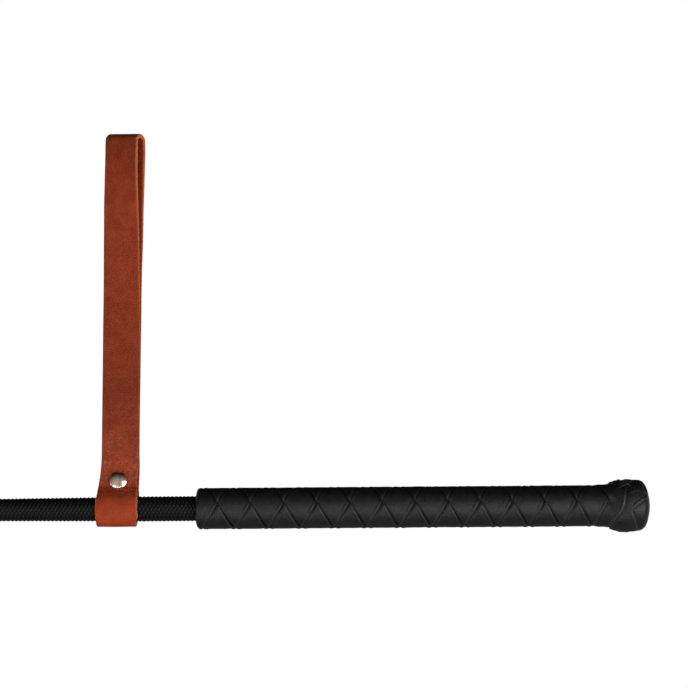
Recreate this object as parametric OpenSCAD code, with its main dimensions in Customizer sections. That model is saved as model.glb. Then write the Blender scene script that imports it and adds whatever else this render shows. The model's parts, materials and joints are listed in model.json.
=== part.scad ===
// Riding crop: tapered glass-fibre shaft in a braided cord sleeve, plaited leather
// grip with a knob, riveted leather wrist strap and a stitched leather keeper.
// X runs along the shaft, from the tip (-X) to the knob (+X). +Z is up, along the
// standing wrist strap, and +Y is the back, to which the riveted part leans.
// The origin is on the shaft axis, at the end of the grip nearest the tip.

/* [Shaft] */
// Outside radius of the braided sleeve at the grip
sleeve_r = 5.35; // [5.2:0.05:5.35]
// Outside radius of the braided sleeve at the tip
sleeve_tip_r = 2.9; // [2.6:0.1:3.0]
// Wall of the braided sleeve
sleeve_wall = 0.9; // [0.7:0.1:0.9]
// Radius of the glass-fibre rod inside the grip
rod_r = 3.5; // [3.2:0.1:3.5]
// Radius of the glass-fibre rod at its tip
rod_tip_r = 1.5; // [1.2:0.1:1.6]
// Length of rod between the grip and the tip
rod_front = 368; // [330:1:368]

/* [Grip] */
// Length of the plaited grip, without the knob
grip_len = 184; // [184:1:184]
// Outside radius of the plait
grip_r = 9.3; // [9.3:0.1:10]
// Distance along the grip between crossings in one row
plait_pitch = 14.7; // [13.5:0.1:16]
// Thickness of one leather strand
strand_t = 0.6; // [0.4:0.05:0.6]
// Share of the cell left free at each edge of a strand
strand_gap = 0.10; // [0.1:0.01:0.15]

/* [Knob] */
// Largest radius of the knob
knob_r = 12.05; // [11.6:0.05:12.4]

/* [Wrist strap] */
// Thickness of the strap leather
strap_t = 2.0; // [1.6:0.1:2.0]
// Width of the strap where it wraps the shaft
wrap_w = 18.1; // [16:0.1:20]
// Width of the hand loop
loop_w = 16.5; // [14:0.1:18]
// Height of the top of the hand loop above the shaft axis
loop_top = 169.4; // [140:1:200]
// Inside radius of the fold at the top of the loop
crown_r = 2.3; // [1.6:0.1:2.4]
// Backward lean of the riveted part, in degrees
lean = 29; // [25:1:30]
// Radius of the hole in the wrap that the shaft passes through
wrap_bore_r = 5.43; // [5.4:0.01:5.45]
// Thickness of the leather in the wrap
wrap_t = 2.45; // [2:0.05:2.45]

/* [Rivet] */
// Radius of the domed caps
cap_r = 3.9; // [3.5:0.1:4]
// Height of the domed caps
cap_h = 1.7; // [1.5:0.1:2]

/* [Keeper] */
// Length of the free flap
flap_len = 63.3; // [50:0.1:80]
// Width of the flap at its free end
flap_w = 27; // [22:1:30]
// Thickness of one leaf of the keeper
leaf_t = 1.8; // [1.5:0.1:1.8]
// Distance between stitch holes
stitch_pitch = 3.6; // [3.4:0.1:5]

/* [Hidden] */
$fn = 64;

black = [0.05, 0.05, 0.05];
brown = [0.55, 0.22, 0.12];
light_tan = [0.72, 0.55, 0.38];
rivet_metal = [0.78, 0.75, 0.70];
thread_cream = [0.85, 0.78, 0.62];

bond_gap = 0.02;                // between fixed layers
slip_gap = 0.05;                // round a part that is pushed into a hole

// Solid of revolution about the X axis, from [x, radius] points with x counted from start_x
module turned(outline, start_x = 0) rotate([0, 90, 0]) rotate_extrude()
    polygon([for (point = outline) [point[1], start_x + point[0]]]);

// Cylinder along X
module bar(from_x, to_x, radius) translate([from_x, 0, 0]) rotate([0, 90, 0])
    cylinder(h = to_x - from_x, r = radius);

// ---- Shaft ----
straight_len = 47;              // untapered sleeve outside the grip
sleeve_in = 58;                 // sleeve length gripped inside the handle
sleeve_front = rod_front - 4;   // sleeve length outside the grip
sleeve_bore_r = sleeve_r - sleeve_wall;
sleeve_tip_bore_r = sleeve_tip_r - sleeve_wall;
rod_end = grip_len + 6;
tip_cap_r = 3.6;
tip_cap_reach = 12;             // how far the cap covers the shaft from the rod's tip
nail_r = 0.8;
nail_hole_r = nail_r + slip_gap;

module core_rod() color([0.80, 0.80, 0.70]) difference() {
    turned([[-rod_front, 0], [-rod_front, rod_tip_r], [0, rod_r], [rod_end, rod_r], [rod_end, 0]]);
    bar(grip_len - 6, rod_end + 1, nail_hole_r, $fn = 32);
}

// Fills the space between rod and sleeve
module under_wrap() color([0.75, 0.72, 0.65]) {
    rod_at_sleeve_tip_r = rod_r + (rod_tip_r - rod_r) * sleeve_front / rod_front;
    turned([
        [-sleeve_front, rod_at_sleeve_tip_r + bond_gap],
        [0, rod_r + bond_gap],
        [sleeve_in, rod_r + bond_gap],
        [sleeve_in, sleeve_bore_r - bond_gap],
        [-straight_len, sleeve_bore_r - bond_gap],
        [-sleeve_front, sleeve_tip_bore_r - bond_gap]]);
}

module braid_sleeve() color(black) difference() {
    union() {
        bar(-straight_len, sleeve_in, sleeve_r);
        turned([[-sleeve_front, 0], [-sleeve_front, sleeve_tip_r],
                [-straight_len, sleeve_r], [-straight_len, 0]]);
    }
    turned([[-sleeve_front - 1, 0], [-sleeve_front - 1, sleeve_tip_bore_r],
            [-sleeve_front, sleeve_tip_bore_r], [-straight_len, sleeve_bore_r],
            [sleeve_in + 1, sleeve_bore_r], [sleeve_in + 1, 0]]);
}

// Bored to clear the sleeve where it enters the cap
module tip_cap() color([0.1, 0.1, 0.1]) {
    cap_end = tip_cap_reach - rod_front;
    taper_share = (-straight_len - cap_end) / (sleeve_front - straight_len);
    sleeve_at_cap_r = sleeve_r + (sleeve_tip_r - sleeve_r) * taper_share;
    difference() {
        turned([[-3, 0], [-3, 2.4], [-1.6, tip_cap_r], [tip_cap_reach, tip_cap_r],
                [tip_cap_reach, 0]], start_x = -rod_front);
        bar(-rod_front - 0.4, cap_end + 1, sleeve_at_cap_r + 0.06);
    }
}

// ---- Grip ----
tube_r = 6.3;
tube_start = 3.2;
tube_end = grip_len + 8;
pad_r = grip_r - 2.15;
pad_start = 7;
collar_len = 3.0;

module grip_tube() color(light_tan) difference() {
    bar(tube_start, tube_end, tube_r);
    bar(2, sleeve_in + 0.5, sleeve_r + slip_gap);
    bar(2, tube_end + 1, rod_r + slip_gap);
}

module grip_padding() color([0.25, 0.25, 0.25]) difference() {
    bar(pad_start, grip_len - 0.5, pad_r);
    bar(pad_start - 1, grip_len + 1, tube_r + bond_gap);
}

// Moulded ring that the leather is turned in over
module front_collar() color([0.12, 0.12, 0.12]) turned([
    [0, sleeve_r + slip_gap], [0, 7.6], [0.35, 8.35], [1.1, 8.6],
    [collar_len, 8.6], [collar_len, sleeve_r + slip_gap]]);

// Half section of wound thread: one circle for each turn
module thread_turns(turns, pitch, radius, thread_r, start)
    for (i = [0:turns - 1]) translate([radius, start + pitch * i]) circle(r = thread_r, $fn = 16);

// Waxed thread that ties the turned-in strand ends beside the collar
module front_binding() color([0.2, 0.2, 0.2]) rotate([0, 90, 0]) rotate_extrude()
    difference() {
        union() {
            translate([tube_r + bond_gap, tube_start]) square([0.45, 3.5]);
            thread_turns(turns = 5, pitch = 0.68, radius = tube_r + 0.45, thread_r = 0.34,
                         start = tube_start + 0.4);
        }
        square([tube_r + bond_gap, 10]);
    }

// One strand of the four-strand plait: hand = 1 or -1 is the way it winds, place = 0 or 1
// picks one of the two strands of that hand. It passes over and under the strands of the
// other hand in turn. The grip's surface is divided into cells, one for each crossing.
module strand(hand, place) {
    pad_clearance = 0.15;
    plait_start = 1.85;         // x of the plait's zero crossing
    plait_turn = -74.3;         // angle of that crossing, from -Y towards +Z
    swing = (grip_r - pad_r - strand_t - pad_clearance) / 2;
    mid_r = pad_r + pad_clearance + strand_t / 2 + swing;
    first_cell = hand > 0 ? place + 1 : -place;
    cells = 24;
    steps = [strand_gap, 0.3, 0.5, 0.7, 1 - strand_gap];
    step_count = len(steps);
    ring_size = 2 * step_count;
    swing_sign = place == 0 ? 1 : -1;

    // Square root of a sine: lingers over and under, and crosses over quickly
    function wave(cell) = let (s = sin(180 * cell)) (s < 0 ? -1 : 1) * sqrt(abs(s));

    // Point on the strand; side = 1 is the outer face, -1 the inner
    function strand_point(along, across, side) = let (
            cell_along = first_cell + along,
            cell_across = place + across,
            falling = hand > 0 ? cell_across : -cell_along,
            rising = hand > 0 ? cell_along : cell_across,
            x = plait_pitch / 2 * (rising - falling) + plait_start,
            angle = 90 * (falling + rising) + plait_turn,
            radius = mid_r + swing_sign * swing * wave(cell_along) + side * strand_t / 2)
        [x, -radius * cos(angle), radius * sin(angle)];

    stations = [for (cell = [0:cells - 1]) for (step = steps) cell + step];
    station_count = len(stations);
    points = [for (along = stations) each concat(
        [for (across = steps) strand_point(along, across, 1)],
        [for (i = [step_count - 1:-1:0]) strand_point(along, steps[i], -1)])];

    // Each four-sided patch is split along the shaft's direction, so it stays round
    function patch(i, j) = let (
            near = i * ring_size + j,
            near_next = i * ring_size + (j + 1) % ring_size,
            far = near + ring_size,
            far_next = near_next + ring_size)
        ((hand > 0) != (j < step_count))
            ? [[near, near_next, far_next], [near, far_next, far]]
            : [[near, near_next, far], [near_next, far_next, far]];
    sides = [for (i = [0:station_count - 2]) for (j = [0:ring_size - 1]) each patch(i, j)];

    // Each end is a row of small patches, because a strand's end is curved too
    last = (station_count - 1) * ring_size;
    ends = [for (j = [0:step_count - 2]) let (opposite = ring_size - 1 - j) each [
        [opposite, opposite - 1, j + 1],
        [opposite, j + 1, j],
        [last + j, last + j + 1, last + opposite - 1],
        [last + j, last + opposite - 1, last + opposite]]];
    polyhedron(points = points, faces = concat(sides, ends), convexity = 20);
}

module plait_strand_1() color(black) strand(hand = 1, place = 0);
module plait_strand_2() color(black) strand(hand = 1, place = 1);
module plait_strand_3() color(black) strand(hand = -1, place = 0);
module plait_strand_4() color(black) strand(hand = -1, place = 1);

// ---- Knob ----
nail_head_r = 2.2;

// Outlines of the core and cover: [x from the grip's end, radius]
core_outline = [
    [2.5, 0], [2.5, 8.8], [4, knob_r - 2.15], [8, knob_r - 1.75], [12, knob_r - 1.95],
    [15.2, knob_r - 2.7], [16.6, knob_r - 4.4], [17.4, knob_r - 7], [17.6, 0]];
cover_outside = [
    [0.2, 9.0], [0.6, 10.2], [3.2, knob_r - 0.55], [5.9, knob_r - 0.2], [8.2, knob_r],
    [10.5, knob_r - 0.15], [13.1, knob_r - 0.5], [15, knob_r - 0.85], [16.7, knob_r - 1.95],
    [17.7, knob_r - 3.5], [18.5, knob_r - 6.6], [19.1, knob_r - 9], [19.4, 0]];
cover_inside = [
    [17.65, 0], [17.65, 3.0], [17.5, knob_r - 6.9], [16.7, knob_r - 4.3], [15.3, knob_r - 2.6],
    [12.1, knob_r - 1.85], [8, knob_r - 1.68], [3.9, knob_r - 2.1], [2.4, 8.85], [0.2, 7.6]];

module pommel_core() color(light_tan) difference() {
    turned(core_outline, start_x = grip_len);
    bar(grip_len + 2, tube_end + 0.1, tube_r + slip_gap);
    bar(rod_end, grip_len + 19, nail_hole_r, $fn = 32);
    bar(grip_len + 16.6, grip_len + 19, nail_head_r + 0.1, $fn = 32);
}

module pommel_nail() color([0.75, 0.75, 0.78]) {
    bar(grip_len - 5, grip_len + 16.9, nail_r, $fn = 32);
    bar(grip_len + 16.7, grip_len + 17.5, nail_head_r, $fn = 32);
}

// Leather knot over the knob
module pommel_cover() color(black)
    turned(concat(cover_outside, cover_inside), start_x = grip_len);

// ---- Wrist strap ----
strap_x = -36.5;                // centre of the strap along the shaft
wrap_r = wrap_bore_r + wrap_t;
stack_half = 2.6;               // half thickness of the riveted stack
stack_t = 2 * stack_half;
// Distances from the shaft axis, up the leaning part
rivet_dist = 12.1;
stack_end = 17.5;
hinge_dist = 19.8;              // fold line of the strap
hinge_y = hinge_dist * sin(lean);
hinge_z = hinge_dist * cos(lean);
post_r = 1.5;

// Frame at the rivet's centre, leaning with the strap: X across, -Y to the front, Z up the strap
module at_rivet() translate([strap_x, 0, 0]) rotate([-lean, 0, 0])
    translate([0, 0, rivet_dist]) children();

// Profile of the wrap, seen along the shaft and square to its lean
module wrap_profile() difference() {
    union() {
        circle(r = wrap_r, $fn = 96);
        translate([-stack_half, 5]) square([stack_t, stack_end - 5]);
    }
    circle(r = wrap_bore_r, $fn = 96);
    translate([-0.6, 4]) square([1.2, 4.3]);    // slot above the bore
}

module strap_wrap() color(brown) difference() {
    translate([strap_x - wrap_w / 2, 0, 0]) rotate([90, 0, 90]) linear_extrude(height = wrap_w)
        rotate(-lean) wrap_profile();
    at_rivet() rotate([90, 0, 0]) translate([0, 0, -6])
        cylinder(h = 12, r = post_r + slip_gap, $fn = 32);
}

// The two legs lie together up to flare_z, then part towards the fold at the top
module loop_profile() {
    crown_outer_r = crown_r + strap_t;
    crown_z = loop_top - crown_outer_r;
    foot_z = hinge_z + 0.35;
    flare_z = 100;
    difference() {
        union() {
            translate([0, crown_z]) circle(r = crown_outer_r, $fn = 96);
            polygon([[-strap_t, foot_z], [strap_t, foot_z], [strap_t, flare_z],
                     [crown_outer_r, crown_z], [-crown_outer_r, crown_z], [-strap_t, flare_z]]);
        }
        translate([0, crown_z]) circle(r = crown_r, $fn = 96);
        polygon([[0, flare_z + 4], [crown_r, crown_z], [-crown_r, crown_z]]);
    }
}

module strap_loop() color(brown) translate([strap_x - loop_w / 2, hinge_y, 0])
    rotate([90, 0, 90]) linear_extrude(height = loop_w) loop_profile();

// ---- Rivet ----
stud_r = 0.92;

// Stands children on a face of the riveted stack: side = 1 is the front, -1 the back
module on_stack(side) at_rivet() rotate([side > 0 ? 90 : -90, 0, 0])
    translate([0, 0, stack_half]) children();

// Domed cap crimped over a flange, standing on z = 0
module cap_shell() difference() {
    // [radius, z] down the dome
    rotate_extrude() polygon([
        [0, cap_h], [1.3, cap_h - 0.10], [2.4, cap_h - 0.40], [3.2, cap_h - 0.85],
        [cap_r - 0.12, 0.55], [cap_r, 0.25], [cap_r - 0.1, 0.05], [3.45, 0.02], [0, 0.02]]);
    translate([0, 0, -1]) cylinder(h = 1.62, r = 3.5, $fn = 48);
}

// Flat disc inside a cap
module flange() translate([0, 0, 0.03]) cylinder(h = 0.55, r = 3.42, $fn = 48);

module rivet_front_cap() color(rivet_metal) on_stack(1) cap_shell();
module rivet_back_cap() color(rivet_metal) on_stack(-1) cap_shell();

// Hollow post on the front flange
module rivet_post() color(rivet_metal) on_stack(1) difference() {
    union() {
        flange();
        translate([0, 0, 0.1 - stack_t]) cylinder(h = stack_t, r = post_r, $fn = 32);
    }
    translate([0, 0, -stack_t - 1]) cylinder(h = stack_t + 1, r = stud_r + 0.03, $fn = 32);
}

// Stud on the back flange, pushed into the post
module rivet_stud() color(rivet_metal) on_stack(-1) {
    flange();
    translate([0, 0, 0.6 - stack_t]) cylinder(h = stack_t, r = stud_r, $fn = 32);
}

// ---- Keeper ----
keeper_x = -(rod_front + 15);   // where the flap meets the neck
flap_end = keeper_x - flap_len;
root_half = 11;                 // half width of the flap at keeper_x
neck_bore_r = tip_cap_r + 0.1;
neck_r = neck_bore_r + leaf_t - 0.3;
corner_r = 4.1;                 // rounded corners of the flap's free end
stitches = 14;                  // spaces between holes along one edge
stitch_start = keeper_x - 5;
stitch_inset = 2.6;             // from the flap's long edge
thread_y = leaf_t + 0.42;       // centre of the thread lying on a face

function flap_half(x) = root_half + (flap_w / 2 - root_half) * (keeper_x - x) / flap_len;
function stitch_x(i) = stitch_start - stitch_pitch * i;
function stitch_z(side, x) = side * (flap_half(x) - stitch_inset);

// Extrudes an outline in X and Z through both leaves
module both_leaves() translate([0, leaf_t, 0]) rotate([90, 0, 0])
    linear_extrude(height = 2 * leaf_t) children();

// Neck of the keeper, rolled round the shaft's tip and fanned out to the flap
module keeper_tang() color(brown) difference() {
    union() {
        bar(keeper_x + 9, keeper_x + 47, neck_r);
        both_leaves() polygon([
            [keeper_x + 2, -root_half], [keeper_x + 2, root_half], [keeper_x + 12, 4.6],
            [keeper_x + 14, 4.6], [keeper_x + 14, -4.6], [keeper_x + 12, -4.6]]);
    }
    bar(keeper_x + 11.6, keeper_x + 48, neck_bore_r);
}

module flap_outline() {
    taper_end = flap_end + 4;
    corner_z = flap_w / 2 - corner_r;
    polygon([[keeper_x - 0.3, -root_half], [keeper_x - 0.3, root_half],
             [taper_end, flap_half(taper_end)], [taper_end, -flap_half(taper_end)]]);
    polygon([[flap_end + 5, -corner_z], [flap_end + 5, corner_z],
             [flap_end, corner_z], [flap_end, -corner_z]]);
    for (side = [-1, 1]) translate([flap_end + corner_r, side * corner_z])
        circle(r = corner_r, $fn = 48);
}

module keeper_flap() color(brown) difference() {
    intersection() {
        both_leaves() flap_outline();
        // Bounds the flap's length and thickness
        translate([flap_end - 1, -leaf_t, -20]) cube([flap_len + 2, 2 * leaf_t, 40]);
    }
    for (side = [-1, 1]) stitch_places(side) rotate([90, 0, 0]) translate([0, 0, -5])
        cylinder(h = 10, r = 0.40, $fn = 16);
}

// Puts children at each stitch hole: side = 1 is the upper edge, -1 the lower
module stitch_places(side) for (i = [0:stitches])
    translate([stitch_x(i), 0, stitch_z(side, stitch_x(i))]) children();

// Saddle stitch down one long edge: thread on both faces, joined through the holes
module stitch_row(side) {
    start_z = stitch_z(side, stitch_start);
    step_x = stitch_x(stitches) - stitch_start;
    step_z = stitch_z(side, stitch_x(stitches)) - start_z;
    overrun = 0.6;              // thread beyond the first and last holes
    stitch_places(side) rotate([90, 0, 0]) translate([0, 0, -thread_y])
        cylinder(h = 2 * thread_y, r = 0.29, $fn = 16);
    for (face = [-1, 1]) translate([stitch_start, face * thread_y, start_z])
        rotate([0, -atan2(step_z, step_x), 0]) rotate([0, 90, 0]) translate([0, 0, -overrun])
            cylinder(h = norm([step_x, step_z]) + 2 * overrun, r = 0.38, $fn = 24);
}

module keeper_stitch_upper() color(thread_cream) stitch_row(1);
module keeper_stitch_lower() color(thread_cream) stitch_row(-1);

// Waxed thread whipped round the keeper's neck
module keeper_whipping() color([0.08, 0.08, 0.08]) rotate([0, 90, 0]) rotate_extrude()
    translate([0, keeper_x + 20]) difference() {
        union() {
            translate([neck_r + bond_gap, 0]) square([0.35, 17]);
            thread_turns(turns = 22, pitch = 0.77, radius = neck_r + 0.42, thread_r = 0.42,
                         start = 0.4);
        }
        translate([0, -1]) square([neck_r + bond_gap, 20]);
    }

core_rod();
under_wrap();
braid_sleeve();
tip_cap();
grip_tube();
grip_padding();
front_collar();
front_binding();
pommel_core();
pommel_nail();
pommel_cover();
plait_strand_1();
plait_strand_2();
plait_strand_3();
plait_strand_4();
strap_wrap();
strap_loop();
rivet_front_cap();
rivet_post();
rivet_stud();
rivet_back_cap();
keeper_tang();
keeper_flap();
keeper_stitch_upper();
keeper_stitch_lower();
keeper_whipping();
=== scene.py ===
import json
import math

import bmesh
import bpy
import numpy as np
from mathutils import Matrix, Vector


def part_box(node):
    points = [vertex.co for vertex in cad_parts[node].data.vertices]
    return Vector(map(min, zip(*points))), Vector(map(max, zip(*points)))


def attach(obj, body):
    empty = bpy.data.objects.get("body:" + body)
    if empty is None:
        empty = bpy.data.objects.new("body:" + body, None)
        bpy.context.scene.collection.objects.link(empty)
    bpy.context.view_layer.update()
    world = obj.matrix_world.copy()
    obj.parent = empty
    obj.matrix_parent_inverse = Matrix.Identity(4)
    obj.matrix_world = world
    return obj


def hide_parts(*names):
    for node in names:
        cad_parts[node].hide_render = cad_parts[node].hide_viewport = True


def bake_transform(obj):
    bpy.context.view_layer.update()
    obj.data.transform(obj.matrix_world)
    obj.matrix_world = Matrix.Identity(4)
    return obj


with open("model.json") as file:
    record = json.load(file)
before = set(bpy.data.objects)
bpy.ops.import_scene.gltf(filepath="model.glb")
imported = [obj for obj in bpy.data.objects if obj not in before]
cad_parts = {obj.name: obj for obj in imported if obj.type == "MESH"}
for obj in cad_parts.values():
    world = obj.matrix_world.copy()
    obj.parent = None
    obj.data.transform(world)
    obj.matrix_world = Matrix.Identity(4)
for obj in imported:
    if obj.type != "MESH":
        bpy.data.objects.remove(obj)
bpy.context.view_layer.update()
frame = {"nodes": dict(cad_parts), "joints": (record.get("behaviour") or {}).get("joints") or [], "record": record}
MM = 0.001


# ---------------------------------------------------------------- shapes of numbers
def smooth(x):
    """Eases from 0 at x = 0 to 1 at x = 1."""
    x = np.clip(x, 0.0, 1.0)
    return x * x * (3 - 2 * x)


def bell(x, centre, width):
    return np.exp(-((x - centre) / width) ** 2)


def edge_drop(distance, radius):
    """Drop of a rounded edge: 1 at the edge, 0 at radius from it and beyond."""
    ratio = np.clip(radius - distance, 0, None) / radius
    return 1 - np.sqrt(np.clip(1 - ratio ** 2, 0, 1))


def xyz(x, y, z):
    return np.stack(np.broadcast_arrays(x, y, z), -1)


def around(x, r, phi):
    """Points at x along the X axis, distance r from it and angle phi round it."""
    angle = np.radians(phi)
    return xyz(x, -r * np.cos(angle), r * np.sin(angle))


def hash3(ix, iy, iz, seed):
    """A pseudo-random value in -1..1 for each lattice point."""
    h = (ix * 374761393 + iy * 668265263 + iz * 2246822519 + seed * 3266489917) & 0xFFFFFFFF
    h = ((h ^ (h >> 13)) * 1274126177) & 0xFFFFFFFF
    h = h ^ (h >> 16)
    return h / 2147483647.5 - 1.0


def noise3(p, seed):
    """Smooth value noise in -1..1 at points p (..., 3)."""
    i = np.floor(p).astype(np.int64)
    f = p - i
    f = f * f * (3 - 2 * f)
    i = i + 10000
    out = np.zeros(p.shape[:-1])
    for dx in (0, 1):
        for dy in (0, 1):
            for dz in (0, 1):
                weight = f[..., 0] if dx else 1 - f[..., 0]
                weight = weight * (f[..., 1] if dy else 1 - f[..., 1])
                weight = weight * (f[..., 2] if dz else 1 - f[..., 2])
                out += weight * hash3(i[..., 0] + dx, i[..., 1] + dy, i[..., 2] + dz, seed)
    return out


def fbm(p, seed):
    """Three octaves of value noise."""
    return sum(0.5 ** o * noise3(p * 2.0 ** o, seed + 17 * o) for o in range(3)) / 1.75


def path_length(points):
    """Length along a path up to each of its points."""
    return np.append(0, np.cumsum(np.linalg.norm(np.diff(points, axis=0), axis=1)))


def curve_through(points, step):
    """Catmull-Rom curve through rows of values, resampled at about step.

    Distance is measured in the first three columns, or two if there are only two."""
    p = np.asarray(points, float)
    q = np.vstack([2 * p[0] - p[1], p, 2 * p[-1] - p[-2]])
    t = np.linspace(0, 1, 24, endpoint=False)[:, None]
    spans = []
    for a, b, c, d in zip(q, q[1:], q[2:], q[3:]):
        spans.append(0.5 * (2 * b + (c - a) * t + (2 * a - 5 * b + 4 * c - d) * t ** 2
                            + (3 * b - a - 3 * c + d) * t ** 3))
    curve = np.vstack(spans + [p[-1:]])
    length = path_length(curve[:, :3])
    even = np.linspace(0, length[-1], int(length[-1] / step))
    return np.stack([np.interp(even, length, column) for column in curve.T], -1)


# ---------------------------------------------------------------- meshes
def build(name, verts, faces, uv, materials, index=None, **point_values):
    """A smooth mesh object from verts (n, 3) and one UV per face corner, both in mm.

    index is the material of each face; point_values are attributes such as wear, which is edge wear on the brown
    leather and painted highlight on the black leather."""
    me = bpy.data.meshes.new(name)
    me.from_pydata((verts * MM).tolist(), [], faces)
    for material in materials:
        me.materials.append(material)
    if index is not None:
        me.polygons.foreach_set("material_index", np.asarray(index, np.int32))
    layer = me.uv_layers.new(name="UVMap")
    layer.data.foreach_set("uv", np.asarray(uv, np.float32).ravel())
    for key, values in point_values.items():
        values = np.asarray(values, np.float32).ravel()
        values = np.broadcast_to(values, len(me.vertices)).copy()
        me.attributes.new(key, "FLOAT", "POINT").data.foreach_set("value", values)
    me.polygons.foreach_set("use_smooth", np.ones(len(me.polygons), bool))
    me.update()
    me.validate()
    ob = bpy.data.objects.new(name, me)
    bpy.context.scene.collection.objects.link(ob)
    return ob


def tube_faces(rows, columns, closed=False, caps=True, base=0):
    """Faces of a grid whose rows are rings, and the (row, column) of each face corner.

    A closed grid also joins its last row to its first; others may get end caps."""
    bands = rows if closed else rows - 1
    i, j = np.meshgrid(np.arange(bands), np.arange(columns), indexing="ij")
    corners = np.stack([i[..., None] + [0, 0, 1, 1], j[..., None] + [0, 1, 1, 0]], -1)
    quads = corners[..., 0] % rows * columns + corners[..., 1] % columns + base
    faces = quads.reshape(-1, 4).tolist()
    corners = corners.reshape(-1, 2)
    if caps and not closed:
        ring = np.arange(columns)
        for row, order in ((0, ring[::-1]), (rows - 1, ring)):
            faces.append((base + row * columns + order).tolist())
            corners = np.vstack([corners, np.column_stack([np.full(columns, row), order])])
    return faces, corners


def join_tubes(tubes, closed=False):
    """Vertices, faces and UVs of tubes, each (points (rows, columns, 3), U of rows, V of columns)."""
    verts, faces, uv, base = [], [], [], 0
    for points, along, across in tubes:
        part, corners = tube_faces(*points.shape[:2], closed, base=base)
        verts.append(points.reshape(-1, 3))
        faces += part
        uv.append(np.column_stack([along[corners[:, 0]], across[corners[:, 1]]]))
        base += len(verts[-1])
    return np.vstack(verts), faces, np.vstack(uv)


def face_outward(verts, faces, uv):
    """Turns all faces and their UVs round if the volume they enclose is negative."""
    a, b, c, d = np.moveaxis(verts[np.array([f for f in faces if len(f) == 4])], 1, 0)
    if (a * (np.cross(b, c) + np.cross(c, d))).sum() >= 0:
        return faces, uv
    ends = np.cumsum([len(f) for f in faces])
    uv = np.concatenate([uv[end - len(f):end][::-1] for f, end in zip(faces, ends)])
    return [f[::-1] for f in faces], uv


def tube(name, tubes, materials, closed=False, index=None, **point_values):
    """One object from the tubes of join_tubes, facing outward."""
    verts, faces, uv = join_tubes(tubes, closed)
    return build(name, verts, *face_outward(verts, faces, uv), materials, index, **point_values)


def ring_angles(count):
    return np.arange(count) * 2 * math.pi / count


def lathe(name, profile, origin, axis, segments, material):
    """Surface of revolution of (height along the axis, radius) points."""
    axis = Vector(axis).normalized()
    side = axis.orthogonal().normalized()
    other = axis.cross(side)
    profile = np.asarray(profile, float)
    height, radius = profile.T[:, :, None, None]
    angles = ring_angles(segments)
    ring = np.cos(angles)[:, None] * np.array(side) + np.sin(angles)[:, None] * np.array(other)
    points = np.array(origin) + height * np.array(axis) + np.maximum(radius, 1e-4) * ring
    across = np.append(angles, 2 * math.pi) * radius.max()
    return tube(name, [(points, path_length(profile), across)], [material])


def recalculate_normals(ob):
    bm = bmesh.new()
    bm.from_mesh(ob.data)
    bmesh.ops.recalc_face_normals(bm, faces=bm.faces[:])
    bm.to_mesh(ob.data)
    bm.free()


def settle(ob, part, slot, *replaced):
    """Ties an object to a moving part and hides the CAD pieces it replaces; slot is not used."""
    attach(ob, part)
    if replaced:
        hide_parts(*replaced)


# ---------------------------------------------------------------- material tools
def srgb(r, g, b):
    """Linear colour of an sRGB colour given in 0..255."""
    linear = lambda c: c / 12.92 if c <= 0.04045 else ((c + 0.055) / 1.055) ** 2.4
    return (linear(r / 255), linear(g / 255), linear(b / 255), 1.0)


def grey(value):
    return (value, value, value, 1)


def plug(tree, socket, value):
    """Links a socket to an output, or sets its value."""
    if isinstance(value, bpy.types.NodeSocket):
        tree.links.new(value, socket)
    else:
        socket.default_value = value


def math_node(tree, operation, a, b, clamp=False):
    node = tree.nodes.new("ShaderNodeMath")
    node.operation = operation
    node.use_clamp = clamp
    plug(tree, node.inputs[0], a)
    plug(tree, node.inputs[1], b)
    return node.outputs[0]


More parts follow.
